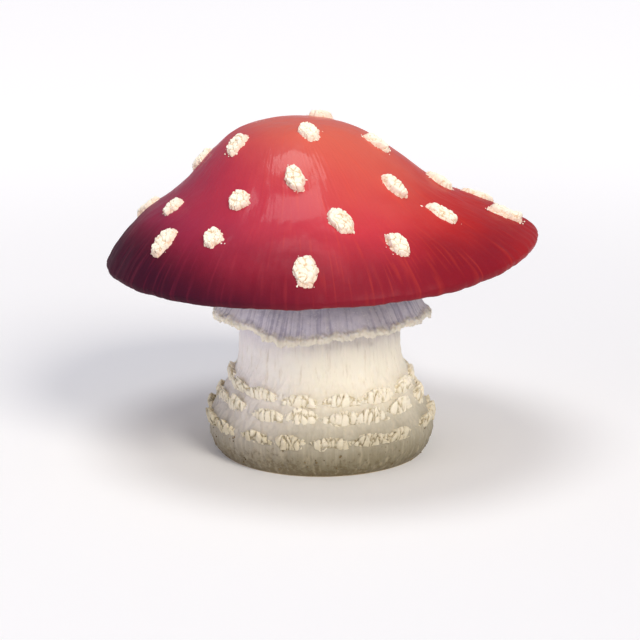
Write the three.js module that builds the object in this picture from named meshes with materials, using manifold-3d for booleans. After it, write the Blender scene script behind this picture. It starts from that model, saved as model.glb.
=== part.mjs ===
// A fly agaric mushroom, picked and stood on the flat cut under its bulb, in millimetres with +Z up.
// The origin is the middle of that cut. The cap, the gills, the ring and the stem are each one solid.
import * as THREE from "three";
import { mergeVertices } from "three/addons/utils/BufferGeometryUtils.js";
import Module from "manifold-3d";

const wasm = await Module();
wasm.setup();

// Driving dimensions
const capRadius = 55;
const marginHeight = 53; // of the cap's margin above the cut base
const shoulderRise = 21.5; // the broad dome above the margin
const shoulderPower = 0.75; // 0.5 would make the dome round, 1 a parabola
const crownRise = 12.5; // the rounded crown that stands on the dome
const crownReach = 0.49; // of the crown, as a share of the cap's radius
const crownPower = 3.8; // how squarely the crown falls away to the flank
const crownShift = 4.8; // the crown sits a little to the left
const flankHollow = 2; // the right flank is sunk by this much, and the left one is as much fuller
const capTilt = THREE.MathUtils.degToRad(3.5); // the right side is the higher one
const lipRadius = 2; // of the rolled margin
const gillRoofRise = 11.2; // the flesh over the gills is a shallow vault
const gillHem = 1.2; // height of the vault's outer edge above the margin
const gillBelly = 4; // how far the gills' edges bulge down
const stemNeck = 21;
const stemTaper = 0.08;
const bulbSwell = 8;
const bulbHeight = 7; // of the bulb's widest place above the cut
const bulbReach = 11; // height over which the bulb swells and dies away
const ringTop = 46.5;
const ringDrop = 11;
const ringFlare = 6.5;
const gap = 0.3; // between pieces that touch

// Slow waves keep the grown shapes from being round. Each has a size, a number of times round and a start.
const capLobes = [[0.014, 2, 0.6], [0.01, 3, -1.1], [0.005, 5, 0.4]]; // shares of the radius
const marginWaves = [[0.9, 3, 0.9], [0.5, 4, -0.5]]; // up and down
const stemLobes = [[0.022, 2, 0.8], [0.012, 3, -0.7]]; // shares of the radius
const ringFolds = [[0.9, 7, 0.4], [0.5, 12, -1]]; // outward, at the hem
const ringWaves = [[0.9, 3, 2], [0.5, 5, 0]]; // up and down, at the hem

// Sizes that follow from them
const gillOuter = capRadius - 2 * lipRadius - 0.8; // short of the rolled margin
const gillInner = stemNeck + 0.9; // clear of the stem
const roofEdge = gillOuter + 0.6;
const roofFlat = stemNeck + 0.2; // inside this radius the roof is flat, where the stem meets it
const gillRoof = (r) => gillHem + gillRoofRise * (1 - (Math.max(r, roofFlat) / roofEdge) ** 2);
const stemTop = marginHeight + gillRoof(0) * Math.cos(capTilt) - gap;
const fullTurn = 2 * Math.PI;
const goldenAngle = Math.PI * (3 - Math.sqrt(5));

// A small seeded random draw, so that every build is the same.
function seeded(seed) {
  let state = seed >>> 0;
  return () => {
    state = (Math.imul(state, 1664525) + 1013904223) >>> 0;
    return state / 2 ** 32;
  };
}

// Draws between two values, and up to a slack either way.
const between = ([low, high], draw) => low + (high - low) * draw();
const within = (slack, draw) => slack * (2 * draw() - 1);

const { clamp, lerp } = THREE.MathUtils;
const smooth = (low, high, value) => THREE.MathUtils.smoothstep(value, low, high);

// The sum of waves at an angle.
const waved = (waves, angle) =>
  waves.reduce((sum, [size, times, start]) => sum + size * Math.cos(times * angle + start), 0);

// Solids and meshes

function solid(geometry) {
  const bare = geometry.clone();
  bare.deleteAttribute("normal");
  bare.deleteAttribute("uv");
  const merged = mergeVertices(bare, 1e-4);
  return new wasm.Manifold(
    new wasm.Mesh({
      numProp: 3,
      vertProperties: merged.attributes.position.array,
      triVerts: new Uint32Array(merged.index.array),
    }),
  );
}

function geometryOf(body) {
  const mesh = body.getMesh();
  const geometry = new THREE.BufferGeometry();
  geometry.setAttribute("position", new THREE.BufferAttribute(new Float32Array(mesh.vertProperties), 3));
  geometry.setIndex(new THREE.BufferAttribute(new Uint32Array(mesh.triVerts), 1));
  return geometry;
}

function fuse(bodies) {
  return wasm.Manifold.union(bodies);
}

// A profile of [radius, height] points turned about Z.
function turned(points, sides) {
  const outline = points.map(([r, z]) => new THREE.Vector2(r, z));
  return new THREE.LatheGeometry(outline, sides).rotateX(Math.PI / 2);
}

function bend(geometry, move) {
  const place = geometry.attributes.position;
  const v = new THREE.Vector3();
  for (let i = 0; i < place.count; i++) {
    v.fromBufferAttribute(place, i);
    move(v);
    place.setXYZ(i, v.x, v.y, v.z);
  }
  geometry.computeVertexNormals();
  return geometry;
}

function piece(name, geometry, color, roughness) {
  const material = new THREE.MeshStandardMaterial({ color, roughness, metalness: 0 });
  const mesh = new THREE.Mesh(geometry, material);
  mesh.name = name;
  return mesh;
}

// The cap. Its own frame has the middle of the margin at the origin.

// Height of the skin at a share of the cap's radius.
function skinHeight(share) {
  const dome = shoulderRise * Math.max(0, 1 - share * share) ** shoulderPower;
  return dome + crownRise * Math.exp(-((share / crownReach) ** crownPower));
}

const skinStart = 0.5; // the skin's own bends set in between these heights above the roof over the gills
const skinFull = 3.5;

// How the grown cap departs from a turned one: a lobed outline, a waved margin, a shifted crown
// and a hollow right flank.
function growCap(v) {
  const radius = Math.hypot(v.x, v.y);
  const share = radius / capRadius;
  const inside = Math.max(0, 1 - share ** 2);
  const angle = Math.atan2(v.y, v.x);
  const wide = 1 + share ** 2 * waved(capLobes, angle);
  const lift = clamp(v.z / (shoulderRise + crownRise), 0, 1);
  const skin = smooth(skinStart, skinFull, v.z - gillRoof(radius));
  const hollow = flankHollow * skin * 4 * share * inside; // deepest halfway down the flank
  v.z += share ** 4 * waved(marginWaves, angle) - hollow * (v.x / capRadius);
  v.x = v.x * wide - crownShift * lift * inside;
  v.y *= wide;
}

const capSides = 60;
const skinSteps = 13;
const lipSteps = 4;
const roofSteps = 3;

function capProfile() {
  const points = [[0, gillRoof(0)]];
  for (let i = 0; i <= roofSteps; i++) {
    const r = lerp(roofFlat, roofEdge, i / roofSteps);
    points.push([r, gillRoof(r)]);
  }
  for (let i = 1; i < lipSteps; i++) {
    const turn = (Math.PI * i) / lipSteps;
    points.push([capRadius - lipRadius * (1 + Math.cos(turn)), -lipRadius * Math.sin(turn)]);
  }
  for (let i = skinSteps; i > 0; i--) {
    const share = Math.sin((i / skinSteps) * (Math.PI / 2));
    points.push([capRadius * share, skinHeight(share)]);
  }
  points.push([0, skinHeight(0)]);
  return points;
}

// A scrap of the torn veil: an uneven stub on a slope, square to it and rooted in it. The slope runs
// from start to end, and the scrap reaches its length along it and its width across it, either way.
const scrapTop = 0.7; // the stub's top, as a share of its foot
const scrapUneven = 0.16; // how much a corner's reach differs, either way

function scrap(start, end, angle, size, draw) {
  const { length, width, height, root, sides } = size;
  const corners = Array.from({ length: sides }, () => 1 + within(scrapUneven, draw));
  const geometry = new THREE.CylinderGeometry(scrapTop, 1, height + root, sides, 1).rotateX(Math.PI / 2);
  bend(geometry, (v) => {
    const turn = Math.atan2(v.y, v.x) / fullTurn + 1.25; // the first corner lies at -Y
    const reach = corners[Math.round(turn * sides) % sides];
    v.x *= reach * length;
    v.y *= reach * width;
    v.z += (height - root) / 2;
  });
  const along = new THREE.Vector3(end[0] - start[0], 0, end[1] - start[1]).normalize();
  const out = new THREE.Vector3(-along.z, 0, along.x);
  const place = new THREE.Matrix4().makeBasis(along, new THREE.Vector3(0, 1, 0), out);
  place.setPosition((start[0] + end[0]) / 2, 0, (start[1] + end[1]) / 2);
  return solid(geometry.applyMatrix4(place).rotateZ(angle));
}

// The warts on the skin are spread as the seeds in a flower head are, each a little out of its place.
const wartSeed = 706;
const wartCount = 28;
const wartSpread = 0.9; // share of the cap's radius that the outermost reach
const wartStart = 1.7; // seeds of the flower head that are left out at its middle
const wartTurn = -1.21;
const wartShareSlack = 0.03;
const wartAngleSlack = 0.2;
const wartWidth = [2.8, 3.5];
const wartStretch = [1.25, 1.6]; // its length for its width
const wartHeight = [1.3, 1.9];
const wartRoot = 1.4;
const wartSides = 6;
const wartSlope = 0.01; // a wart stands on the slope between these shares on either side of its own

function warts() {
  const draw = seeded(wartSeed);
  const at = (share) => [capRadius * share, skinHeight(share)];
  return Array.from({ length: wartCount }, (_, k) => {
    const ordered = wartSpread * Math.sqrt((k + wartStart) / wartCount);
    const share = ordered + within(wartShareSlack, draw);
    const angle = k * goldenAngle + wartTurn + within(wartAngleSlack, draw);
    const width = between(wartWidth, draw);
    const length = width * between(wartStretch, draw);
    const height = between(wartHeight, draw);
    const size = { length, width, height, root: wartRoot, sides: wartSides };
    return scrap(at(share - wartSlope), at(share + wartSlope), angle, size, draw);
  });
}

function cap() {
  const body = fuse([solid(turned(capProfile(), capSides)), ...warts()]);
  return piece("cap", bend(geometryOf(body), growCap), 0xc4302f, 0.4);
}

// The gills hang from a thin layer of flesh. Long ones run to the stem, short ones fill between them.

const gillCount = 60;
const gillThickness = 0.8;
const gillFlesh = 1.2;
const gillInset = 0.6; // of the blades from the flesh's edges
const gillHeel = 0.4; // how far a blade's top reaches inward of its edge's start
const longGill = { start: gillInner + gillInset, rise: 0, steps: 5 };
const shortGill = { start: 34, rise: 1, steps: 2 }; // its edge is raised at the start
const gillEdgeInner = 3.2; // height of the gills' edge above the margin, by the stem
const gillEdgeOuter = 0.6; // and by the margin
const fleshSteps = 3;

function gillEdge(r) {
  const s = (r - gillInner) / (gillOuter - gillInner);
  return lerp(gillEdgeInner, gillEdgeOuter, s) - gillBelly * Math.sin(Math.PI * s);
}

// A blade from its start to the margin, with its top sunk in the flesh.
function gillBlade({ start, rise, steps }) {
  const root = gap + gillFlesh / 2;
  const end = gillOuter - gillInset;
  const heel = start - gillHeel;
  const shape = new THREE.Shape();
  shape.moveTo(heel, gillRoof(heel) - root);
  for (let i = 0; i <= steps; i++) {
    const r = lerp(start, end, i / steps);
    shape.lineTo(r, gillEdge(r) + rise * (1 - i / steps));
  }
  for (let i = fleshSteps; i > 0; i--) {
    const r = lerp(heel, end, i / fleshSteps);
    shape.lineTo(r, gillRoof(r) - root);
  }
  const blade = new THREE.ExtrudeGeometry(shape, { depth: gillThickness, bevelEnabled: false });
  return blade.translate(0, 0, -gillThickness / 2).rotateX(Math.PI / 2);
}

function gills() {
  const fleshTop = [];
  const fleshUnder = [];
  for (let i = 0; i <= fleshSteps; i++) {
    const r = lerp(gillInner, gillOuter, i / fleshSteps);
    fleshTop.unshift([r, gillRoof(r) - gap]);
    fleshUnder.push([r, gillRoof(r) - gap - gillFlesh]);
  }
  const bodies = [solid(turned([...fleshUnder, ...fleshTop, fleshUnder[0]], gillCount))];
  const pitch = fullTurn / gillCount;
  for (let k = 0; k < gillCount; k++) {
    bodies.push(solid(gillBlade(longGill).rotateZ(k * pitch)));
    bodies.push(solid(gillBlade(shortGill).rotateZ((k + 0.5) * pitch)));
  }
  return piece("gills", bend(geometryOf(fuse(bodies)), growCap), 0xf6ecd6, 0.7);
}

// The stem swells into a bulb below, where the veil has left belts of scales.

function stemRadius(z) {
  const neck = stemNeck * (1 - stemTaper * (z / stemTop));
  return neck + bulbSwell * Math.exp(-(((z - bulbHeight) / bulbReach) ** 2));
}

// The stem leans a little to meet the tilted cap, isn't quite round, and its top lies along the cap's roof.
const topBlend = 0.86; // share of the stem's height above which it turns to the roof

function growStem(v) {
  const high = v.z / stemTop;
  const wide = 1 + waved(stemLobes, Math.atan2(v.y, v.x));
  const lean = gillRoof(0) * Math.sin(capTilt);
  v.z += v.x * Math.tan(capTilt) * smooth(topBlend, 1, high);
  v.x = v.x * wide - lean * high ** 2;
  v.y *= wide;
}

const belts = [
  { z: 9.5, count: 17 },
  { z: 14.5, count: 16 },
  { z: 19, count: 14 },
];
const scaleSeed = 5;
const scaleAngleSlack = 0.15; // as a share of the scales' pitch
const scaleHeightSlack = 0.7;
const scaleCover = [0.78, 1]; // its width, as a share of the pitch
const scaleLength = [1.5, 2.2];
const scaleHeight = [1, 1.5];
const scaleRoot = 1.3;
const scaleSides = 5;
const scaleSlope = 0.5; // a scale stands on the slope between these heights above and below its middle

function bulbScales() {
  const draw = seeded(scaleSeed);
  const at = (z) => [stemRadius(z), z];
  return belts.flatMap(({ z, count }, belt) =>
    Array.from({ length: count }, (_, k) => {
      const pitch = fullTurn / count;
      const angle = (k + 0.5 * (belt % 2) + within(scaleAngleSlack, draw)) * pitch;
      const middle = z + within(scaleHeightSlack, draw);
      const width = (stemRadius(z) * pitch * between(scaleCover, draw)) / 2;
      const length = between(scaleLength, draw);
      const height = between(scaleHeight, draw);
      const size = { length, width, height, root: scaleRoot, sides: scaleSides };
      return scrap(at(middle + scaleSlope), at(middle - scaleSlope), angle, size, draw);
    }),
  );
}

const stemSides = 44;
const stemSteps = 15;
const stemStepPower = 1.15; // the steps are closer together at the bulb

function stem() {
  const points = [[0, 0]];
  for (let i = 0; i <= stemSteps; i++) {
    const z = stemTop * (i / stemSteps) ** stemStepPower;
    points.push([stemRadius(z), z]);
  }
  points.push([0, stemTop]);
  const body = fuse([solid(turned(points, stemSides)), ...bulbScales()]);
  return piece("stem", bend(geometryOf(body), growStem), 0xf3e6cc, 0.75);
}

// The ring is the skirt that the torn veil leaves high on the stem.

const ringThickness = 0.9;
const ringHem = 1.7; // the hem is thicker than the rest
const ringSides = 60;
const ringSteps = 5;
const ringFall = [[0, 0], [0.15, 0.2], [0.62, 0.55], [1, 1]]; // shares of the flare and of the drop

// The skirt hangs in folds, which deepen towards its waved hem.
function growRing(v) {
  const angle = Math.atan2(v.y, v.x);
  const low = clamp((ringTop - v.z) / ringDrop, 0, 1);
  const reach = 1 + (low ** 2 * waved(ringFolds, angle)) / Math.hypot(v.x, v.y);
  v.x *= reach;
  v.y *= reach;
  v.z += low * waved(ringWaves, angle);
  growStem(v);
}

function ring() {
  const collar = stemRadius(ringTop) + gap + ringThickness / 2;
  const places = ringFall.map(([out, down]) => [collar + out * ringFlare, ringTop - down * ringDrop]);
  const hang = new THREE.SplineCurve(places.map((place) => new THREE.Vector2(...place)));
  const outside = [];
  const inside = [];
  for (let i = 0; i <= ringSteps; i++) {
    const at = hang.getPoint(i / ringSteps);
    const along = hang.getTangent(i / ringSteps);
    const half = (i === ringSteps - 1 ? ringHem : ringThickness) / 2;
    outside.push([at.x - along.y * half, at.y + along.x * half]);
    inside.unshift([at.x + along.y * half, at.y - along.x * half]);
  }
  const profile = [...outside, ...inside, outside[0]].reverse();
  return piece("ring", bend(geometryOf(solid(turned(profile, ringSides))), growRing), 0xf8f0de, 0.8);
}

const mushroom = new THREE.Group();
const capGroup = new THREE.Group();
capGroup.position.z = marginHeight;
capGroup.rotation.y = -capTilt;
capGroup.add(cap(), gills());
mushroom.add(stem(), ring(), capGroup);

export default mushroom;
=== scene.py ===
import math

import bpy
import numpy as np
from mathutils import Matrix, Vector, noise


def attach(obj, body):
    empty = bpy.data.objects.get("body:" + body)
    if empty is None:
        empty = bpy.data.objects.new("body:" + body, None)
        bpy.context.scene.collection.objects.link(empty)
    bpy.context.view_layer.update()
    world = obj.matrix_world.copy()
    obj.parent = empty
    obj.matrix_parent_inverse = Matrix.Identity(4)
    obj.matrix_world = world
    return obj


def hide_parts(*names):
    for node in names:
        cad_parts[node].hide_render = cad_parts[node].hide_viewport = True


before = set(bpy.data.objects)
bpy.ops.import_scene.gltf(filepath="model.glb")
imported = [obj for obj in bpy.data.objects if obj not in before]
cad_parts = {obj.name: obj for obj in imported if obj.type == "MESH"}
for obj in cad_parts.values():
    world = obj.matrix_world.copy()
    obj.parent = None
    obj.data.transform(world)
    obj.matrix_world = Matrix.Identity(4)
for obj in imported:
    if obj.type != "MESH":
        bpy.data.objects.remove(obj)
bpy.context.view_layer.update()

MM = 0.001
TURN = 2 * math.pi
GOLDEN_ANGLE = math.pi * (3 - math.sqrt(5))

# Driving sizes, the same as the solids have
CAP_RADIUS = 55
MARGIN_HEIGHT = 53  # of the cap's margin above the cut base
SHOULDER_RISE = 21.5  # the broad dome above the margin
SHOULDER_POWER = 0.75  # 0.5 would make the dome round, 1 a parabola
CROWN_RISE = 12.5  # the rounded crown that stands on the dome
CROWN_REACH = 0.49  # of the crown, as a share of the cap's radius
CROWN_POWER = 3.8  # how squarely the crown falls away to the flank
CROWN_SHIFT = 4.8  # the crown sits a little to the left
FLANK_HOLLOW = 2  # the right flank is sunk by this much, and the left one is as much fuller
CAP_TILT = math.radians(3.5)  # the right side is the higher one
LIP_RADIUS = 2  # of the rolled margin
GILL_ROOF_RISE = 11.2  # the flesh over the gills is a shallow vault
GILL_HEM = 1.2  # height of the vault's outer edge above the margin
GILL_BELLY = 4  # how far the gills' edges bulge down
STEM_NECK = 21
STEM_TAPER = 0.08
BULB_SWELL = 8
BULB_HEIGHT = 7  # of the bulb's widest place above the cut
BULB_REACH = 11  # height over which the bulb swells and dies away
RING_TOP = 46.5
RING_DROP = 11
RING_FLARE = 6.5
GAP = 0.3  # between pieces that touch

# Slow waves that keep the grown shapes from being round: size, times round and start
CAP_LOBES = ((0.014, 2, 0.6), (0.01, 3, -1.1), (0.005, 5, 0.4))  # shares of the radius
MARGIN_WAVES = ((0.9, 3, 0.9), (0.5, 4, -0.5))  # up and down
STEM_LOBES = ((0.022, 2, 0.8), (0.012, 3, -0.7))  # shares of the radius
RING_FOLDS = ((0.9, 7, 0.4), (0.5, 12, -1))  # outward, at the hem
RING_WAVES = ((0.9, 3, 2), (0.5, 5, 0))  # up and down, at the hem

# Sizes that follow from them
GILL_OUTER = CAP_RADIUS - 2 * LIP_RADIUS - 0.8  # short of the rolled margin
GILL_INNER = STEM_NECK + 0.9  # clear of the stem
ROOF_EDGE = GILL_OUTER + 0.6
ROOF_FLAT = STEM_NECK + 0.2  # inside this radius the roof is flat, where the stem meets it


def gill_roof(r):
    return GILL_HEM + GILL_ROOF_RISE * (1 - (np.maximum(r, ROOF_FLAT) / ROOF_EDGE) ** 2)


STEM_TOP = MARGIN_HEIGHT + float(gill_roof(0)) * math.cos(CAP_TILT) - GAP


def smooth(low, high, value):
    t = np.clip((value - low) / (high - low), 0, 1)
    return t * t * (3 - 2 * t)


def mixed(a, b, share):
    return a + (b - a) * share


def waved(waves, angle):
    return sum(size * np.cos(times * angle + start) for size, times, start in waves)


class Draw:
    """Seeded draws from 0 to 1, the same ones that placed the solids' warts and scales."""

    def __init__(self, seed):
        self.state = seed

    def __call__(self):
        self.state = (self.state * 1664525 + 1013904223) % 2**32
        return self.state / 2**32

    def between(self, low, high):
        return low + (high - low) * self()

    def within(self, slack):
        return slack * (2 * self() - 1)


CRACK_WIDTH = 0.22  # as a share of the cells that the cracks part


def lumps(points, size, octaves=2, seed=0.0):
    """A smooth noise of about -1 to 1 at each point, whose lumps are of that size."""
    places = (np.asarray(points) / size + seed).tolist()
    return np.array([noise.fractal(p, 1.0, 2.0, octaves) for p in places])


def layered(points, *layers):
    """The sum of layers of lumps, each given as its height, size, octaves and seed."""
    return sum(height * lumps(points, *layer) for height, *layer in layers)


def cracks(points, size, seed=0.0):
    """0 in the cracks between cells of that size, rising to 1 inside them."""
    places = (np.asarray(points) / size + seed).tolist()
    near = np.array([noise.voronoi(p)[0][:2] for p in places])
    return smooth(0.0, CRACK_WIDTH, near[:, 1] - near[:, 0])


# Where the grown shapes are


def skin_height(share):
    dome = SHOULDER_RISE * np.maximum(0, 1 - share**2) ** SHOULDER_POWER
    return dome + CROWN_RISE * np.exp(-((share / CROWN_REACH) ** CROWN_POWER))


def grow_cap(points):
    """Takes points of the plain turned cap to the lobed, waved and tilted one."""
    x, y, z = np.asarray(points, float).T
    radius = np.hypot(x, y)
    share = radius / CAP_RADIUS
    inside = np.maximum(0, 1 - share**2)
    angle = np.arctan2(y, x)
    wide = 1 + share**2 * waved(CAP_LOBES, angle)
    lift = np.clip(z / (SHOULDER_RISE + CROWN_RISE), 0, 1)
    hollow = FLANK_HOLLOW * smooth(0.5, 3.5, z - gill_roof(radius)) * 4 * share * inside
    z = z + share**4 * waved(MARGIN_WAVES, angle) - hollow * (x / CAP_RADIUS)
    x = x * wide - CROWN_SHIFT * lift * inside
    y = y * wide
    c, s = math.cos(CAP_TILT), math.sin(CAP_TILT)
    return np.stack([x * c - z * s, y, x * s + z * c + MARGIN_HEIGHT], 1)


def stem_radius(z):
    neck = STEM_NECK * (1 - STEM_TAPER * (z / STEM_TOP))
    return neck + BULB_SWELL * np.exp(-(((z - BULB_HEIGHT) / BULB_REACH) ** 2))


def grow_stem(points):
    """Takes points of the plain turned stem to the leaning one, which isn't quite round."""
    x, y, z = np.asarray(points, float).T
    high = z / STEM_TOP
    wide = 1 + waved(STEM_LOBES, np.arctan2(y, x))
    lean = float(gill_roof(0)) * math.sin(CAP_TILT)
    z = z + x * math.tan(CAP_TILT) * smooth(0.86, 1, high)
    return np.stack([x * wide - lean * high * high, y * wide, z], 1)


def grow_ring(points):
    """Takes points of the plain turned ring to the folded one, on the leaning stem."""
    x, y, z = np.asarray(points, float).T
    angle = np.arctan2(y, x)
    low = np.clip((RING_TOP - z) / RING_DROP, 0, 1)
    reach = 1 + low**2 * waved(RING_FOLDS, angle) / np.hypot(x, y)
    z = z + low * waved(RING_WAVES, angle)
    return grow_stem(np.stack([x * reach, y * reach, z], 1))


# Making pieces


def turned(profile, sides, closed=False):
    """Points and faces of rows of (radius, height) turned about Z.

    A profile that isn't closed starts and ends on the axis.
    """
    rows = np.asarray(profile if closed else profile[1:-1], float)
    turn = np.arange(sides) * TURN / sides
    r, z = rows[:, :1], np.repeat(rows[:, 1:], sides, 1)
    points = np.stack([r * np.cos(turn), r * np.sin(turn), z], 2).reshape(-1, 3)
    count = len(rows)
    row = np.arange(count if closed else count - 1)[:, None]
    side = np.arange(sides)[None, :]
    here, beside = row * sides + side, row * sides + (side + 1) % sides
    above = ((row + 1) % count) * sides
    quads = np.stack([here, beside, above + (side + 1) % sides, above + side], 2).reshape(-1, 4)
    faces = quads.tolist()
    if not closed:
        foot, tip, last = len(points), len(points) + 1, (count - 1) * sides
        points = np.vstack([points, [0, 0, profile[0][1]], [0, 0, profile[-1][1]]])
        for i in range(sides):
            j = (i + 1) % sides
            faces.append([foot, j, i])
            faces.append([last + i, last + j, tip])
    return points, faces


def joined(meshes):
    """Joins meshes, each given as its points, its faces and the values of its notes."""
    faces, first = [], 0
    for points, sides, *_ in meshes:
        faces += [[first + i for i in face] for face in sides]
        first += len(points)
    points, _, *notes = zip(*meshes)
    return np.vstack(points), faces, [np.concatenate(values) for values in notes]


def circle(angles):
    """Points at those angles on a level circle of radius 1."""
    return np.stack([np.cos(angles), np.sin(angles), 0 * angles], 1)


def spun(points, angle):
    """Points turned about Z."""
    c, s = math.cos(angle), math.sin(angle)
    return points @ np.array([[c, s, 0], [-s, c, 0], [0, 0, 1]])


def piece(name, points, faces, finish, slot, *nodes):
    """A smooth mesh in the row frame. It takes the finish, rides on the mushroom and stands for the nodes."""
    mesh = bpy.data.meshes.new(name)
    mesh.from_pydata((np.asarray(points) * MM).tolist(), [], faces)
    mesh.shade_smooth()
    mesh.materials.append(finish)
    made = bpy.data.objects.new(name, mesh)
    bpy.context.scene.collection.objects.link(made)
    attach(made, "root")
    if nodes:
        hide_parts(*nodes)
    return made


def swell(made, offset):
    """Moves a piece's points along their normals."""
    count = len(made.data.vertices)
    at, out = np.empty(count * 3), np.empty(count * 3)
    made.data.vertices.foreach_get("co", at)
    made.data.vertex_normals.foreach_get("vector", out)
    at += out * np.repeat(offset * MM, 3)
    made.data.vertices.foreach_set("co", at)
    made.data.update()


def note(made, name, values):
    """Keeps a number for each point of a piece, for its finish to read."""
    layer = made.data.attributes.new(name, "FLOAT", "POINT")
    layer.data.foreach_set("value", np.asarray(values, np.float32))


# Finishes


def shade(code):
    """A linear colour from a web one."""
    parts = [int(code[i : i + 2], 16) / 255 for i in (1, 3, 5)]
    return [*(p / 12.92 if p <= 0.04045 else ((p + 0.055) / 1.055) ** 2.4 for p in parts), 1]


class Link:
    """A socket of a finish. Arithmetic on it adds Math nodes."""

    def __init__(self, finish, socket):
        self.finish, self.socket = finish, socket

    def math(self, operation, *values):
        return self.finish.node("ShaderNodeMath", {"operation": operation}, dict(enumerate(values)))

    def __add__(self, other):
        return self.math("ADD", self, other)

    def __sub__(self, other):
        return self.math("SUBTRACT", self, other)

    def __rsub__(self, other):
        return self.math("SUBTRACT", other, self)

    def __mul__(self, other):
        return self.math("MULTIPLY", self, other)

    __radd__, __rmul__ = __add__, __mul__


class Finish:
    """The nodes of one material."""

    def __init__(self, name):
        self.material = bpy.data.materials.new(name)
        self.material.use_nodes = True
        self.tree = self.material.node_tree
        self.skin = self.tree.nodes["Principled BSDF"]

    def node(self, kind, settings, inputs, output=0):
        """Adds a node of a kind. The settings come first, then the values or links of its sockets."""
        made = self.tree.nodes.new(kind)
        for name, value in settings.items():
            setattr(made, name, value)
        for socket, value in inputs.items():
            self.put(made.inputs[socket], value)
        return Link(self, made.outputs[output])

    def put(self, socket, value):
        if isinstance(value, Link):
            self.tree.links.new(value.socket, socket)
        else:
            socket.default_value = value

    def set(self, **sockets):
        """Sets sockets of the surface: Base_Color is its Base Color."""
        for name, value in sockets.items():
            self.put(self.skin.inputs[name.replace("_", " ")], value)

    def soften(self, weight, depth, radius):
        """Lets light into the surface by about that depth in millimetres, shared out by colour."""
        self.set(Subsurface_Weight=weight, Subsurface_Scale=depth * MM, Subsurface_Radius=radius)

    def noted(self, name):
        return self.node("ShaderNodeAttribute", {"attribute_name": name}, {}, "Fac")

    def place(self):
        return self.node("ShaderNodeTexCoord", {}, {}, "Object")

    def axis(self, letter):
        return self.node("ShaderNodeSeparateXYZ", {}, {0: self.place()}, letter)

    def stretched(self, x, y, z):
        """The place, with each axis multiplied, for streaks."""
        return self.node("ShaderNodeVectorMath", {"operation": "MULTIPLY"}, {0: self.place(), 1: (x, y, z)})

    def length(self, vector):
        return self.node("ShaderNodeVectorMath", {"operation": "LENGTH"}, {0: vector}, "Value")

    def noise(self, size, detail=2.0, rough=0.5, at=None):
        """A noise from 0 to 1 whose lumps are of that size."""
        sockets = {"Vector": at or self.place(), "Scale": 1 / (size * MM)}
        sockets |= {"Detail": detail, "Roughness": rough}
        return self.node("ShaderNodeTexNoise", {}, sockets, "Fac")

    def band(self, value, low, high):
        """0 below low, 1 above high, smooth between."""
        settings = {"interpolation_type": "SMOOTHSTEP"}
        return self.node("ShaderNodeMapRange", settings, {0: value, 1: low, 2: high})

    def blend(self, factor, first, second):
        """A colour from first to second."""
        return self.node("ShaderNodeMix", {"data_type": "RGBA"}, {0: factor, 6: first, 7: second}, 2)

    def bump(self, height, depth, strength=1.0, normal=None):
        """A relief of that depth in millimetres."""
        sockets = {"Height": height, "Distance": depth * MM, "Strength": strength}
        if normal:
            sockets["Normal"] = normal
        return self.node("ShaderNodeBump", {}, sockets)


def skin_finish():
    """The cap's moist skin, its colour carrying painted light and shade: lighter coral at the crown and red
    on the lit right as painted light, maroon on the left and dark at the margin as painted shade.
    """
    f = Finish("cap_skin")
    share, rays, bare = f.noted("share"), f.noted("rays"), f.noted("bare")
    right = f.axis("X") * (1 / (CAP_RADIUS * MM))
    cloud = f.noise(15, 3) - 0.5
    far = share + 0.16 * cloud
    # painted light: the crown is lighter coral over a crimson flank, reaching further down on the lit right
    color = f.blend(f.band(far - 0.4 * right, 0.2, 0.68), shade("#cf5e4a"), shade("#c43540"))
    # painted light: the lit right flank turns a clear red
    color = f.blend(f.band(right + 0.3 * cloud, 0.22, 0.68), color, shade("#b82420"))
    # painted shade: the left flank, away from the light, darkens to maroon
    left = 0.35 * share - right + 0.3 * cloud
    color = f.blend(0.9 * f.band(left, 0.05, 1.1), color, shade("#821e40"))
    # painted shade: the margin darkens all round, less on the lit right
    margin = f.band(far, 0.66, 0.98) * (0.84 - 0.4 * f.band(right, 0.74, 0.98))
    color = f.blend(margin, color, shade("#771224"))
    # painted shade: the lower left of the cap, where the shade is deepest, goes nearly black purple
    painted_plum_shade = f.band(1.7 * far - 0.5 * right, 1.6, 2.05)
    color = f.blend(0.9 * painted_plum_shade, color, shade("#300a20"))
    # the fine rays are the skin's own; their colour darkens towards the left with the painted shade there
    streaks = f.blend(f.band(left, 0.1, 0.9), shade("#dc4e34"), shade("#9c2a44"))
    color = f.blend(0.21 * f.band(rays, 0.5, 0.9), color, streaks)
    color = f.blend(bare, color, shade("#f0dcb8"))
    f.set(Base_Color=color, Roughness=0.36 + 0.16 * f.noise(3, 3) + 0.06 * rays + 0.2 * painted_plum_shade)
    f.set(Coat_Weight=0.34 * f.band(share, 0.95, 0.3), Coat_Roughness=0.15)
    f.set(Specular_IOR_Level=0.1)
    f.soften(0.08, 1.2, (1.0, 0.25, 0.15))
    fine = f.bump(f.noise(0.35, 2), 0.03)
    f.set(Normal=f.bump(f.noise(1.8, 3), 0.1, 0.7, fine))
    return f.material


def wart_finish():
    """The veil's dry, crumbly scraps: cream, with warm ochre in the cracks and a flush at the edge."""
    f = Finish("wart")
    relief, edge = f.noted("relief"), f.noted("edge")
    cloud = f.noise(2.2, 3) - 0.5
    color = f.blend(f.band(relief + 0.5 * cloud, 0.1, 0.7), shade("#dfbd92"), shade("#fff6e0"))
    color = f.blend(0.2 * f.band(f.noise(0.4, 2), 0.5, 0.8), color, shade("#f0dcb4"))
    color = f.blend(0.5 * f.band(edge + 0.5 * cloud, 0.65, 1.05), color, shade("#e8ab90"))
    f.set(Base_Color=color, Roughness=0.85 + 0.1 * cloud, Sheen_Weight=0.1)
    f.soften(0.12, 0.8, (1.0, 0.75, 0.55))
    f.set(Normal=f.bump(f.noise(0.28, 3, 0.65), 0.12))
    return f.material


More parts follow.
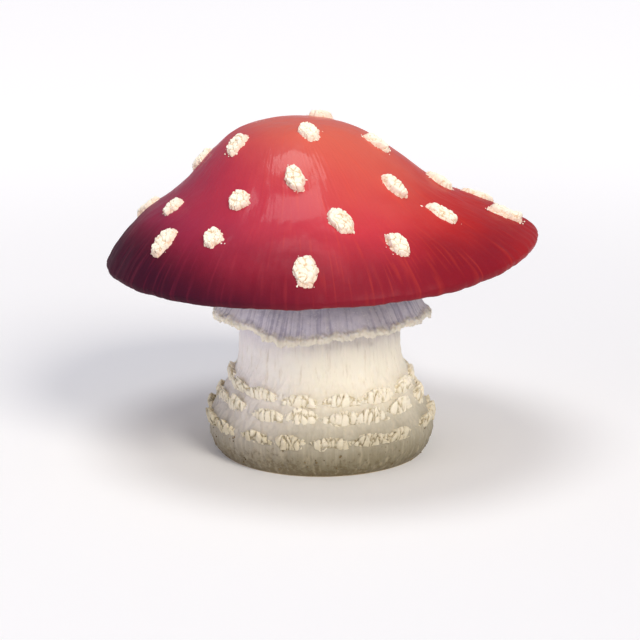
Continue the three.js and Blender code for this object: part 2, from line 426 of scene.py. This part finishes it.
def stem_finish():
    """White stringy flesh with painted light and shade in its colour: a cooler cream and a lighter foot on
    the left, painted lilac-grey shade under the cap, and khaki towards the earthy foot, partly earth stain
    and partly painted shade.
    """
    f = Finish("stem_flesh")
    z = f.axis("Z") * (1 / MM)
    cloud = f.noise(9, 3) - 0.5
    strings = f.noise(1.0, 3, 0.6, f.stretched(1, 1, 0.1))
    high = z + 6 * cloud + 5 * (strings - 0.5)
    # painted light and shade on the left: a cooler, lilac-tinged cream above and a lighter khaki foot below
    left = f.band(f.axis("X") * (1 / (STEM_NECK * MM)), 0.1, -1)
    foot = f.blend(left, shade("#7a6f50"), shade("#8f846b"))
    cream = f.blend(left, shade("#fff6e2"), shade("#fdf5f0"))
    # darker khaki towards the foot: partly earth stain, partly painted shade
    color = f.blend(f.band(high, 0, 27), foot, cream)
    # painted shadow: the cap's shadow laid over the stem's top as lilac-grey
    color = f.blend(0.8 * f.band(high, 27, 42), color, shade("#9c97b6"))
    color = f.blend(0.4 * f.band(strings, 0.52, 0.8), color, shade("#c9b896"))
    earth = f.band(f.noise(1.3, 4, 0.7) - 0.04 * high, 0.3, 0.52)
    color = f.blend(0.6 * earth, color, shade("#63502f"))
    knife = f.noise(1.4, 4, 0.6, f.stretched(0.2, 1, 1))
    pith = f.blend(0.5 * f.band(knife, 0.4, 0.7), shade("#fbf3e0"), shade("#e2d2ac"))
    pith = f.blend(0.45 * f.band(f.noise(7, 4, 0.6), 0.45, 0.65), pith, shade("#dccba4"))
    reach = f.length(f.stretched(1, 1, 0)) * (1 / (float(stem_radius(0)) * MM)) + 0.1 * cloud
    pith = f.blend(0.8 * f.band(reach, 0.84, 0.99), pith, shade("#b59c6e"))
    color = f.blend(f.band(z, 0.25, 0.1), color, pith)
    f.set(Base_Color=color, Roughness=0.72 + 0.15 * (strings - 0.5), Sheen_Weight=0.1)
    f.soften(0.15, 1.5, (1.0, 0.75, 0.5))
    fine = f.bump(f.noise(0.35, 2), 0.05)
    f.set(Normal=f.bump(f.noise(0.6, 3, 0.6, f.stretched(1, 1, 0.08)), 0.18, 0.8, fine))
    return f.material


def scale_finish():
    """The bulb's shaggy scales: pale tips over an earthy foot, both darker towards the bottom, partly earth
    stain and partly painted shade as on the stem.
    """
    f = Finish("bulb_scales")
    relief = f.noted("relief")
    high = f.axis("Z") * (1 / MM) + 8 * (f.noise(2.5, 3) - 0.5)
    # darker towards the bottom: partly earth stain, partly painted shade
    tips = f.blend(f.band(high, 2, 20), shade("#c2b491"), shade("#fff5df"))
    foot = f.blend(f.band(high, 4, 22), shade("#7d6f50"), shade("#d3c4a0"))
    color = f.blend(f.band(relief + 0.4 * (f.noise(0.8, 3) - 0.5), 0.15, 0.75), foot, tips)
    f.set(Base_Color=color, Roughness=0.85)
    f.soften(0.12, 1, (1.0, 0.75, 0.5))
    f.set(Normal=f.bump(f.noise(0.3, 3, 0.65), 0.12))
    return f.material


def earth_finish():
    """Crumbs of dark forest earth."""
    f = Finish("earth")
    color = f.blend(f.band(f.noise(0.5, 3), 0.35, 0.65), shade("#57452b"), shade("#8e7a55"))
    f.set(Base_Color=color, Roughness=0.9)
    f.set(Normal=f.bump(f.noise(0.2, 2), 0.06))
    return f.material


def gill_finish():
    """The gills' thin, pale, slightly waxy sheets."""
    f = Finish("gill")
    depth = f.noted("depth")
    cloud = f.noise(5, 3) - 0.5
    color = f.blend(depth + 0.3 * cloud, shade("#ead9b2"), shade("#fbf3dd"))
    f.set(Base_Color=color, Roughness=0.6)
    f.soften(0.25, 1.5, (1.0, 0.8, 0.55))
    f.set(Normal=f.bump(f.noise(0.5, 2), 0.04))
    return f.material


def ring_finish():
    """The ring's soft membrane: painted lilac-grey shade where it hangs in the cap's shade and in the hollows
    of its pleats, cream at the hem.
    """
    f = Finish("ring_veil")
    low, pleats = f.noted("low"), f.noted("pleats")
    cloud = f.noise(1.4, 3) - 0.5
    # painted shade: lilac-grey high up under the cap, paling further down
    color = f.blend(f.band(low + 0.3 * cloud, 0.1, 1.0), shade("#8e89ad"), shade("#e4deea"))
    # painted shade: the hollows of the pleats darker lilac-grey
    color = f.blend(0.5 * f.band(pleats + 0.4 * cloud, 0.55, 0.1), color, shade("#8b84a4"))
    flecks = f.band(f.noise(0.45, 2), 0.6, 0.7)
    color = f.blend(0.45 * flecks, color, shade("#f4eff2"))
    color = f.blend(0.8 * f.band(low + 0.14 * cloud, 0.84, 0.97), color, shade("#f6ecd2"))
    f.set(Base_Color=color, Roughness=0.8, Sheen_Weight=0.15)
    f.soften(0.2, 1.2, (1.0, 0.8, 0.6))
    f.set(Normal=f.bump(f.noise(0.35, 3, 0.6), 0.07))
    return f.material


# The scraps of the veil: the cap's warts and the bulb's scales

WART_SEED = 706
WART_COUNT = 28
WART_SPREAD = 0.9  # how far out the spiral goes, as a share of the cap's radius
WART_START = 1.7  # places of the spiral that are left out at its middle
WART_TURN = -1.21
WART_SHARE_SLACK = 0.03
WART_ANGLE_SLACK = 0.2
WART_WIDTH = (2.8, 3.5)
WART_STRETCH = (1.25, 1.6)  # a wart's length, as a share of its width
WART_HEIGHT = (1.3, 1.9)
WART_SIDES = 6
WART_SLOPE = 0.01  # how far in and out from its middle a wart's slope is taken, as a share of the radius
SCALE_SEED = 5
BELTS = ((9.5, 17), (14.5, 16), (19, 14))  # each belt's height and number of scales
SCALE_ANGLE_SLACK = 0.15  # as a share of the scales' pitch
SCALE_HEIGHT_SLACK = 0.7
SCALE_COVER = (0.78, 1)  # a scale's width, as a share of the pitch
SCALE_LENGTH = (1.5, 2.2)
SCALE_HEIGHT = (1, 1.5)
SCALE_SIDES = 5
STEM_SLOPE = 0.5  # how far above and below a height the stem's slope is taken
SCRAP_UNEVEN = 0.16  # in how far a scrap's corners reach
SCRAP_ROUND = 0.35  # of a scrap's sides between its corners: 0 is straight


def drawn_corners(count, draw):
    return [1 + draw.within(SCRAP_UNEVEN) for _ in range(count)]


def wart_rows():
    """Slope, angle, size and corners of each wart, drawn as for the solids."""
    draw = Draw(WART_SEED)
    for k in range(WART_COUNT):
        ordered = WART_SPREAD * math.sqrt((k + WART_START) / WART_COUNT)
        share = ordered + draw.within(WART_SHARE_SLACK)
        angle = k * GOLDEN_ANGLE + WART_TURN + draw.within(WART_ANGLE_SLACK)
        width = draw.between(*WART_WIDTH)
        length = width * draw.between(*WART_STRETCH)
        height = draw.between(*WART_HEIGHT)
        ends = (share - WART_SLOPE, share + WART_SLOPE)
        slope = [(CAP_RADIUS * s, float(skin_height(s))) for s in ends]
        yield slope, angle, (length, width, height), drawn_corners(WART_SIDES, draw)


def stem_slope(z):
    """The stem's slope at a height, from above it to below."""
    return [(float(stem_radius(h)), h) for h in (z + STEM_SLOPE, z - STEM_SLOPE)]


def scale_rows():
    """Slope, angle, size and corners of each scale on the bulb, drawn as for the solids."""
    draw = Draw(SCALE_SEED)
    for belt, (z, count) in enumerate(BELTS):
        for k in range(count):
            pitch = TURN / count
            angle = (k + 0.5 * (belt % 2) + draw.within(SCALE_ANGLE_SLACK)) * pitch
            middle = z + draw.within(SCALE_HEIGHT_SLACK)
            width = stem_radius(z) * pitch * draw.between(*SCALE_COVER) / 2
            length = draw.between(*SCALE_LENGTH)
            height = draw.between(*SCALE_HEIGHT)
            yield stem_slope(middle), angle, (length, width, height), drawn_corners(SCALE_SIDES, draw)


def stood_on(slope, angle, local):
    """Takes points along, across and out of a slope to where that slope is on a turned shape."""
    (r0, z0), (r1, z1) = slope
    along = np.array([r1 - r0, 0, z1 - z0]) / math.hypot(r1 - r0, z1 - z0)
    out = np.array([-along[2], 0, along[0]])
    middle = np.array([(r0 + r1) / 2, 0, (z0 + z1) / 2])
    placed = middle + local[:, :1] * along + local[:, 1:2] * np.array([0, 1, 0]) + local[:, 2:] * out
    return spun(placed, angle)


def outline(corners, turn):
    """How far a many-cornered scrap reaches at each turn, with its sides between straight and round."""
    count = len(corners)
    step = TURN / count
    place = ((turn + math.pi / 2) % TURN) / step
    low = np.floor(place).astype(int)
    t = place - low
    a, b = np.array(corners)[low % count], np.array(corners)[(low + 1) % count]
    straight = a * b * math.sin(step) / (a * np.sin(t * step) + b * np.sin((1 - t) * step))
    return mixed(straight, mixed(a, b, t), SCRAP_ROUND)


class Crumb:
    """How one kind of scrap crumbles. Rows and sides set how fine its mesh is.

    The grain stretches its clods along the slope, across it and out of it. The lean tips its crest uphill.
    """

    def __init__(self, rows, sides, root, clod, grain, deep, torn, brow, lean):
        self.rows, self.sides, self.root = rows, sides, root
        self.clod, self.grain, self.deep = clod, np.array(grain), deep
        self.torn, self.brow, self.lean = torn, brow, lean


WART_CRUMB = Crumb(30, 96, 1.4, clod=1.7, grain=(1, 1, 1), deep=0.34, torn=0.09, brow=0.84, lean=0)
SCALE_CRUMB = Crumb(21, 94, 1.3, clod=1.5, grain=(0.4, 1, 0.3), deep=0.62, torn=0.16, brow=0.6, lean=0.75)
SCALE_GROWTH = (1.1, 1.2, 1.05)  # the torn scales' sizes, as shares of the solid ones'

# What both kinds of scrap share
SCRAP_FILL = 0.95  # the share of its solid's outline that a scrap fills before its edge is torn
SCRAP_DROOP = 0.2  # how far its top falls away before the brow, as a share of its height
BROW_WIDTH = 0.12
BIT_SIZE = 0.42  # of the small clods, as a share of the large ones
BIT_DEEP = 0.14
FLUFF_DEEP = 0.2
SWAY_DEEP = 0.4
CLOD_SPREAD = 0.07  # how far clods stand out at the edge, as a share of its reach
SCRAP_SEED_STEP = 13.7  # from one scrap's noise to the next one's


def scrap(size, corners, seed, crumb):
    """One scrap with a cracked top, a torn edge and a sunk foot: points, faces and two notes.

    The notes are how high its relief is, and how near the edge, from 0 to 1.
    """
    length, width, height = size
    profile = [(0, 1.0)]
    for i in range(1, crumb.rows):
        s = i / (crumb.rows - 1)
        fall = float(smooth(crumb.brow - BROW_WIDTH, 1.0, s))
        profile.append((s, 1 - SCRAP_DROOP * s**2 - (1 - SCRAP_DROOP) * fall))
    profile += [(1.02, -0.5), (1.0, -1.0), (0, -1.0)]
    points, faces = turned(profile[::-1], crumb.sides)
    r = np.hypot(points[:, 0], points[:, 1])
    turn = np.arctan2(points[:, 1], points[:, 0])
    ragged = 1 + crumb.torn * lumps(circle(turn), 0.35, 3, seed) * smooth(0.3, 1.0, r)
    reach = outline(corners, turn) * ragged * SCRAP_FILL
    flat = points[:, :2] * reach[:, None] * [length, width]
    up = np.maximum(points[:, 2], 0) * height + np.minimum(points[:, 2], 0) * crumb.root
    local = np.column_stack([flat, up])
    clods = cracks(local * crumb.grain, crumb.clod, seed)
    bits = cracks(local * crumb.grain, BIT_SIZE * crumb.clod, seed + 7)
    fluff = lumps(local, 0.9, 3, seed + 3)
    sway = lumps(local, 3.5, 1, seed + 9) * smooth(1.0, 0.6, r)
    shown = smooth(-0.1, 0.15, points[:, 2])
    raised = crumb.deep * (clods - 0.8) + BIT_DEEP * (bits - 0.5) + FLUFF_DEEP * fluff + SWAY_DEEP * sway
    local[:, 2] += shown * raised
    local[:, :2] *= (1 + shown * smooth(0.5, 0.9, r) * CLOD_SPREAD * (clods - 0.6))[:, None]
    local[:, 0] -= crumb.lean * shown * np.maximum(0, local[:, 2])
    high = np.clip(0.1 + 0.6 * clods + 0.3 * bits + 0.25 * fluff, 0, 1)
    return local, faces, high, r


def scraps(name, rows, grow, crumb, finish, slot, growth=(1, 1, 1)):
    """All the scraps of one kind, as one piece."""
    made_scraps = []
    for k, (slope, angle, size, corners) in enumerate(rows):
        grown_size = [a * b for a, b in zip(size, growth)]
        local, *rest = scrap(grown_size, corners, SCRAP_SEED_STEP * k, crumb)
        made_scraps.append((grow(stood_on(slope, angle, local)), *rest))
    points, faces, (relief, edge) = joined(made_scraps)
    made = piece(name, points, faces, finish, slot)
    note(made, "relief", relief)
    note(made, "edge", edge)
    return made


# Loose crumbs beside the warts and on the foot
CRUMBS_AT_A_WART = 7
WART_CRUMB_SEED = 29
WART_CRUMB_PLACE = (0.9, 1.2)  # how far from the wart's middle, as a share of its reach
EARTH_CLUSTERS = 110
EARTH_SEED = 61
EARTH_RISE = 7  # how far up the clusters go, most of them near the foot
CLUSTER_MOST = 9  # crumbs in a cluster
CLUSTER_RISE = 1.1  # up or down
CLUSTER_SWING = 0.05  # round the stem, as an angle
CRUMB_SEED = 7
CRUMB_ROWS = 6
CRUMB_SIDES = 7
CRUMB_UNEVEN = 0.35
CRUMB_STRETCH = (0.8, 1.3)
CRUMB_FLATTEN = 0.7
CRUMB_SEED_STEP = 5.1  # from one crumb's noise to the next one's


def wart_crumb_places():
    """Slope, angle, place on the slope and radius of the crumbs that cling beside the warts."""
    draw = Draw(WART_CRUMB_SEED)
    for slope, angle, (length, width, _), corners in wart_rows():
        for _ in range(CRUMBS_AT_A_WART):
            turn = TURN * draw()
            reach = float(outline(corners, np.array([turn]))[0]) * draw.between(*WART_CRUMB_PLACE)
            place = (length * reach * math.cos(turn), width * reach * math.sin(turn), 0)
            yield slope, angle, place, 0.1 + 0.24 * draw() ** 2


def earth_crumb_places():
    """The same for the crumbs of earth, which cling in clusters and are thickest at the bulb's foot."""
    draw = Draw(EARTH_SEED)
    for _ in range(EARTH_CLUSTERS):
        middle = 0.8 + EARTH_RISE * draw() ** 1.8
        angle = TURN * draw()
        for _ in range(1 + int(CLUSTER_MOST * draw() ** 2)):
            z = max(0.5, middle + draw.within(CLUSTER_RISE))
            turn = angle + draw.within(CLUSTER_SWING)
            yield stem_slope(z), turn, (0, 0, 0.08), 0.07 + 0.22 * draw() ** 3


def crumbs(name, places, grow, finish, slot):
    """Small uneven crumbs that cling to a slope."""
    draw = Draw(CRUMB_SEED)
    half_turn = np.linspace(0, math.pi, CRUMB_ROWS)
    ball, ball_faces = turned([(math.sin(a), -math.cos(a)) for a in half_turn], CRUMB_SIDES)
    made_crumbs = []
    for k, (slope, angle, place, radius) in enumerate(places):
        uneven = 1 + CRUMB_UNEVEN * lumps(ball, 0.7, 2, CRUMB_SEED_STEP * k)
        stretch = [draw.between(*CRUMB_STRETCH), draw.between(*CRUMB_STRETCH), CRUMB_FLATTEN]
        local = ball * radius * uneven[:, None] * stretch + place
        made_crumbs.append((grow(stood_on(slope, angle, local)), ball_faces))
    points, faces, _ = joined(made_crumbs)
    made = piece(name, points, faces, finish, slot)
    note(made, "relief", np.full(len(points), 0.7))
    note(made, "edge", np.full(len(points), 0.5))
    return made


# The cap

SKIN_ROWS = 120
SKIN_SIDES = 640
LIP_ROWS = 25
ROOF_ROWS = 8
SKIN_LUMPS = ((0.34, 15, 2, 0), (0.1, 4.5, 2, 3), (0.03, 1.4, 2, 6))
FURROWS = 24  # how close the margin's furrows stand: lumps of a noise around a circle of this radius
FURROW_DRIFT = 5  # how much they change on the way from the crown to the margin
FURROW_DEEP = 0.2
FURROW_REACH = (0.86, 0.97)
RAYS = (4.2, 4.2, 1.2)  # how much closer than the furrows the skin's fine rays stand
RAY_DEEP = 0.035
RAY_REACH = (0.15, 0.5)
WART_CUSHION = 0.25  # how far the skin swells under a wart


def cap_profile():
    """Rows of (radius, height, share of bare flesh), from the roof over the gills round to the crown."""
    rows = [(0, float(gill_roof(0)), 1)]
    rows += [(r, float(gill_roof(r)), 1) for r in np.linspace(ROOF_FLAT, ROOF_EDGE, ROOF_ROWS)]
    for turn in np.linspace(0, math.pi, LIP_ROWS)[1:-1]:
        bare = 1 - float(smooth(1.2, 1.9, turn))
        rows.append((CAP_RADIUS - LIP_RADIUS * (1 + math.cos(turn)), -LIP_RADIUS * math.sin(turn), bare))
    for turn in np.linspace(math.pi / 2, 0, SKIN_ROWS):
        share = math.sin(turn)
        rows.append((CAP_RADIUS * share, float(skin_height(share)), 0))
    return rows


def cap_skin(finish):
    rows = cap_profile()
    plain, faces = turned([row[:2] for row in rows], SKIN_SIDES)
    bare = np.append(np.repeat([row[2] for row in rows[1:-1]], SKIN_SIDES), [1, 0])
    grown = grow_cap(plain)
    made = piece("cap_skin", grown, faces, finish, "cap_skin", "cap")
    share = np.hypot(plain[:, 0], plain[:, 1]) / CAP_RADIUS
    around = np.arctan2(plain[:, 1], plain[:, 0])
    fan = np.stack([np.cos(around) * FURROWS, np.sin(around) * FURROWS, share * FURROW_DRIFT], 1)
    rays = lumps(fan * RAYS, 1.0, 2, 4.0)
    offset = layered(grown, *SKIN_LUMPS)
    offset += FURROW_DEEP * lumps(fan, 1.0, 1) * smooth(*FURROW_REACH, share)
    offset += RAY_DEEP * rays * smooth(*RAY_REACH, share)
    for slope, angle, size, _ in wart_rows():
        foot = grow_cap(stood_on(slope, angle, np.zeros((1, 3))))[0]
        near = np.linalg.norm(grown - foot, axis=1) / size[0]
        offset += WART_CUSHION * np.exp(-(near**4))
    swell(made, offset * (1 - bare))
    note(made, "share", share)
    note(made, "rays", np.clip(0.5 + 0.5 * rays, 0, 1))
    note(made, "bare", bare)
    return made


# The gills

LONG_GILLS = 60
SHORT_GILL_START = 34
SHORTEST_GILL_START = 42.5
SHORT_GILL_SLACK = 2.5  # the range of places where a short gill starts
GILL_SLACK = 0.12  # the range of a gill's place round the cap, as a share of the pitch
GILL_SEED = 17
GILL_FLESH = 1.2  # thickness of the layer that they hang from
GILL_FLESH_ROWS = 14
GILL_FLESH_SIDES = 240
GILL_SHEET = 0.5  # a gill's thickness at its root
GILL_THINNING = 0.45  # the share of it that is lost towards the edge
GILL_ROWS = 5  # from root to edge
GILL_EDGE_INNER = 3.2  # the edge's height above the margin beside the stem
GILL_EDGE_OUTER = 0.6
GILL_RAGGED = 0.1
GILL_SWAY = 0.22

# Where a gill starts, how much higher its edge starts, its place in the pitch and its steps along
GILL_KINDS = (
    (GILL_INNER + 0.2, 0, 0, 34),
    (SHORT_GILL_START, 1, 0.5, 22),
    (SHORTEST_GILL_START, 1.2, 0.25, 12),
    (SHORTEST_GILL_START, 1.2, 0.75, 12),
)


def gill_edge(r):
    s = (r - GILL_INNER) / (GILL_OUTER - GILL_INNER)
    return mixed(GILL_EDGE_INNER, GILL_EDGE_OUTER, s) - GILL_BELLY * np.sin(np.pi * s)


def gill_blade(start, rise, angle, seed, along):
    """One thin blade from start to the margin: points, faces and a note of depth from root to edge."""
    end = GILL_OUTER + 0.2
    s = np.linspace(0, 1, along)
    r = mixed(start, end, s)
    root = gill_roof(r) - GAP - GILL_FLESH / 2
    ragged = GILL_RAGGED * lumps(np.stack([r, r * 0 + seed, r * 0], 1), 0.8, 2)
    edge = gill_edge(r) + rise * (1 - s) + ragged
    edge = mixed(root - 0.4, edge, smooth(0, 0.1, s) ** 0.5)
    sway = GILL_SWAY * lumps(np.stack([r, r * 0, r * 0 + seed], 1), 7, 1)
    depth = np.concatenate([np.linspace(0, 1, GILL_ROWS), np.linspace(1, 0, GILL_ROWS)])
    side = np.repeat([-0.5, 0.5], GILL_ROWS)
    half = side * GILL_SHEET * (1 - GILL_THINNING * depth)
    z = root[:, None] * (1 - depth) + edge[:, None] * depth
    y = sway[:, None] * depth + half
    x = np.repeat(r[:, None], 2 * GILL_ROWS, 1)
    points = spun(np.stack([x, y, z], 2).reshape(-1, 3), angle)
    loop = 2 * GILL_ROWS
    faces = []
    for i in range(along - 1):
        for j in range(loop):
            k = (j + 1) % loop
            faces.append([i * loop + j, i * loop + k, (i + 1) * loop + k, (i + 1) * loop + j])
    faces.append(list(reversed(range(loop))))
    faces.append([(along - 1) * loop + j for j in range(loop)])
    return points, faces, np.tile(depth, along)


def gills(finish):
    radii = np.linspace(GILL_INNER - 0.2, ROOF_EDGE, GILL_FLESH_ROWS)
    roof = [(r, float(gill_roof(r)) - GAP) for r in radii]
    flesh = [(r, z - GILL_FLESH) for r, z in roof] + roof[::-1]
    plain, faces = turned(flesh, GILL_FLESH_SIDES, closed=True)
    meshes = [(plain, faces, np.zeros(len(plain)))]
    pitch = TURN / LONG_GILLS
    draw = Draw(GILL_SEED)
    for k in range(LONG_GILLS):
        for start, rise, part, along in GILL_KINDS:
            begin = start + (SHORT_GILL_SLACK * (draw() - 0.5) if part else 0)
            angle = (k + part + GILL_SLACK * (draw() - 0.5)) * pitch
            meshes.append(gill_blade(begin, rise, angle, 3.1 * k + 40 * part, along))
    points, faces, (depth,) = joined(meshes)
    made = piece("gills_blades", grow_cap(points), faces, finish, "gill", "gills")
    note(made, "depth", depth)
    return made


# The stem

STEM_ROWS = 200
STEM_SIDES = 470
CUT_ROWS = (0.35, 0.7, 0.9, 0.97)  # across the cut base, as shares of its radius
TOP_ROW = 0.6  # the same across the hidden top
FINE_STRINGS = (0.16, 1.1, 3, 0)
BROAD_STRINGS = (0.26, 3.4, 2, 5)
STEM_LUMPS = ((0.4, 11, 2, 2), (0.12, 2.2, 3, 8))
FOOT_CRUMBLE = (0.14, 0.9, 3, 1)
FOOT_TOP = (30, 20)  # the foot's crumbly skin fades in from the first height to the second
BELT_WIDTH = 1.0
BELT_RIDGE = 0.9  # how high the ridges between scales stand
BELT_SINK = 0.3
FLAKE_DEEP = 0.16


def stem(finish):
    heights = STEM_TOP * np.linspace(0, 1, STEM_ROWS)
    rows = [(0, 0)]
    rows += [(float(stem_radius(0)) * s, 0) for s in CUT_ROWS]
    rows += [(float(stem_radius(z)), z) for z in heights]
    rows += [(float(stem_radius(STEM_TOP)) * TOP_ROW, STEM_TOP), (0, STEM_TOP)]
    plain, faces = turned(rows, STEM_SIDES)
    grown = grow_stem(plain)
    made = piece("stem_flesh", grown, faces, finish, "stem_flesh", "stem")
    z = plain[:, 2]
    strings = layered(grown * [1, 1, 0.1], FINE_STRINGS) + layered(grown * [1, 1, 0.18], BROAD_STRINGS)
    lumpy = layered(grown, *STEM_LUMPS)
    belts = sum(np.exp(-(((z - middle) / BELT_WIDTH) ** 2)) for middle, _ in BELTS)
    shreds = cracks(grown * [1, 1, 0.35], 1.5, 2.0)
    ridges = belts * np.clip(0.5 + 0.5 * lumps(grown, 3, 2, 4.0), 0, 1) * shreds
    crumbly = layered(grown, FOOT_CRUMBLE) * smooth(*FOOT_TOP, z)
    patches = np.clip(lumps(grown, 6, 2, 7.0) + 0.2, 0, 1)
    flakes = FLAKE_DEEP * cracks(grown * [1, 1, 0.3], 2.6, 9.0) * patches
    side = smooth(0.0, 2.0, z) * smooth(STEM_TOP, STEM_TOP - 4, z)
    swell(made, side * (strings + lumpy + BELT_RIDGE * ridges + crumbly + flakes - BELT_SINK * belts))
    return made


# The ring

RING_SHEET = 0.7  # its thickness
RING_HEM = 1.6  # the same where the torn hem swells
RING_LIP = 0.7  # how far its top rises along the stem
RING_HUG = 0.45  # how far the middle of its sheet stays outside the gap round the stem
RING_ROWS = 60
RING_SIDES = 720
RING_FALL = ((0.15, 0.2), (0.62, 0.55), (1, 1))  # shares of the flare and of the drop
HEM_PLACE = 0.93  # down the ring, as a share of its length
HEM_WIDTH = 0.06
TORN_DEEP = 0.8
TATTER_DEEP = 0.9
BROAD_PLEATS = 13  # how close the pleats stand: lumps of a noise around a circle of this radius
NARROW_PLEATS = 40
BROAD_PLEAT_DEEP = 0.2
NARROW_PLEAT_DEEP = 0.13


def ring_rows(steps):
    """Middle, outward way, half thickness and share of the way down, along a curve through four places."""
    collar = float(stem_radius(RING_TOP)) + GAP + RING_HUG
    places = [np.array([float(stem_radius(RING_TOP)), RING_TOP + RING_LIP])]
    places += [np.array([collar + a * RING_FLARE, RING_TOP - b * RING_DROP]) for a, b in RING_FALL]
    padded = [2 * places[0] - places[1], *places, 2 * places[-1] - places[-2]]
    for i in range(steps + 1):
        t = min(i / steps * 3, 2.99999)  # just short of 3, so that the last row is in the last span
        k, u = int(t), t - int(t)
        a, b, c, d = padded[k : k + 4]
        at = 0.5 * (2 * b + (c - a) * u + (2 * a - 5 * b + 4 * c - d) * u**2 + (3 * b - a - 3 * c + d) * u**3)
        way = 0.5 * ((c - a) + 2 * (2 * a - 5 * b + 4 * c - d) * u + 3 * (3 * b - a - 3 * c + d) * u**2)
        way = way / np.linalg.norm(way)
        s = i / steps
        hem = math.exp(-(((s - HEM_PLACE) / HEM_WIDTH) ** 2))
        tip = math.sqrt(max(0.02, 1 - max(0, (s - HEM_PLACE) / (1 - HEM_PLACE)) ** 2))
        hugging = mixed(0.3, 1, float(smooth(0, 0.2, s)))
        yield at, np.array([-way[1], way[0]]), tip * hugging * mixed(RING_SHEET, RING_HEM, hem) / 2, s


def ring(finish):
    rows = list(ring_rows(RING_ROWS))
    outside = [tuple(at + out * half) for at, out, half, _ in rows]
    inside = [tuple(at - out * half) for at, out, half, _ in rows]
    down = [s for *_, s in rows]
    plain, faces = turned([*reversed(outside), *inside], RING_SIDES, closed=True)
    low = np.repeat(np.array([*reversed(down), *down]), RING_SIDES)
    around = np.arctan2(plain[:, 1], plain[:, 0])
    rim = circle(around)
    torn = lumps(rim, 0.1, 3, 6.0)
    tatters = np.maximum(0, lumps(rim, 0.22, 1, 9.0))
    plain[:, 2] += low**4 * (TORN_DEEP * torn + TATTER_DEEP * tatters)
    grown = grow_ring(plain)
    made = piece("ring_veil", grown, faces, finish, "ring_veil", "ring")
    fall = smooth(0.05, 0.4, low)
    broad = lumps(np.column_stack([rim[:, :2] * BROAD_PLEATS, low]), 1.0, 1) * fall
    narrow = lumps(np.column_stack([rim[:, :2] * NARROW_PLEATS, low]), 1.0, 2, 3.0) * fall
    clods = cracks(grown, 2.3, 5.0) * np.clip(lumps(grown, 3, 1, 8.0) + 0.3, 0, 1)
    crumbly = 0.5 * clods + 0.3 * cracks(grown, 1.1) + 0.3 * lumps(grown, 0.8, 3) - 0.2
    ragged = smooth(0.8, 0.95, low) * crumbly
    pleats = BROAD_PLEAT_DEEP * broad + NARROW_PLEAT_DEEP * narrow
    swell(made, pleats + 0.05 * lumps(grown, 1.0, 2) + ragged)
    note(made, "low", low)
    note(made, "pleats", np.clip(0.5 + 0.6 * narrow + 0.3 * broad, 0, 1))
    return made


# The camera, the lights and the floor

LOOK_HEIGHT = 34
CAMERA_AWAY = 622
CAMERA_HIGH = math.radians(15)
LENS = 135
FLOOR_RADIUS = 6000
FLOOR_TUCK = 0.4  # how far the floor goes in under the base


def aim(thing, at, target):
    thing.location = Vector(at) * MM
    thing.rotation_euler = (Vector(target) - Vector(at)).to_track_quat("-Z", "Y").to_euler()


def add(name, data):
    made = bpy.data.objects.new(name, data)
    bpy.context.scene.collection.objects.link(made)
    return made


def camera():
    data = bpy.data.cameras.new("camera")
    data.lens = LENS
    made = add("camera", data)
    back = CAMERA_AWAY * math.cos(CAMERA_HIGH)
    aim(made, (0, -back, LOOK_HEIGHT + CAMERA_AWAY * math.sin(CAMERA_HIGH)), (0, 0, LOOK_HEIGHT))
    bpy.context.scene.camera = made


def sun(name, energy, spread, color, at):
    data = bpy.data.lights.new(name, "SUN")
    data.energy = energy
    data.angle = math.radians(spread)
    data.color = color
    aim(add(name, data), at, (0, 0, 40))


def lights():
    sun("key", 1.78, 22, (1, 0.96, 0.9), (240, -410, 380))
    sun("fill", 0.62, 40, (0.84, 0.85, 1), (-420, -260, 80))
    panel = bpy.data.lights.new("panel", "AREA")
    panel.shape = "DISK"
    panel.size = 0.2
    panel.energy = 0.6
    aim(add("panel", panel), (-40, -40, 430), (0, 0, 60))
    world = bpy.data.worlds.new("studio")
    bpy.context.scene.world = world
    world.use_nodes = True
    world.node_tree.nodes["Background"].inputs["Color"].default_value = (0.86, 0.86, 1, 1)
    world.node_tree.nodes["Background"].inputs["Strength"].default_value = 0.42


def floor():
    """A wide pale disk, which views from below look through.

    It is open under the cut base, which covers the hole, so that light reaches the cut.
    """
    sides = 96
    around = circle(np.arange(sides) * TURN / sides)
    hole = grow_stem(around * (float(stem_radius(0)) - FLOOR_TUCK))
    points = np.vstack([hole, around * FLOOR_RADIUS]) * MM
    faces = [(i, i + sides, (i + 1) % sides + sides, (i + 1) % sides) for i in range(sides)]
    mesh = bpy.data.meshes.new("floor")
    mesh.from_pydata(points.tolist(), [], faces)
    f = Finish("floor")
    glow = f.blend(f.band(f.length(f.place()), 0.08, 0.5), shade("#383838"), shade("#9a9a9a"))
    f.set(Base_Color=shade("#f7f6f4"), Roughness=0.9, Specular_IOR_Level=0.1)
    f.set(Emission_Color=glow, Emission_Strength=1)
    back = f.node("ShaderNodeNewGeometry", {}, {}, "Backfacing")
    f.set(Alpha=1 - back)
    mesh.materials.append(f.material)
    add("floor", mesh)


camera()
lights()
floor()
bpy.context.scene.view_settings.view_transform = "Standard"

cap_skin(skin_finish())
wart = wart_finish()
scraps("warts", wart_rows(), grow_cap, WART_CRUMB, wart, "wart")
crumbs("wart_crumbs", wart_crumb_places(), grow_cap, wart, "wart")
gills(gill_finish())
stem(stem_finish())
scraps("bulb_scales", scale_rows(), grow_stem, SCALE_CRUMB, scale_finish(), "stem_flesh", SCALE_GROWTH)
crumbs("earth_crumbs", earth_crumb_places(), grow_stem, earth_finish(), "stem_flesh")
ring(ring_finish())
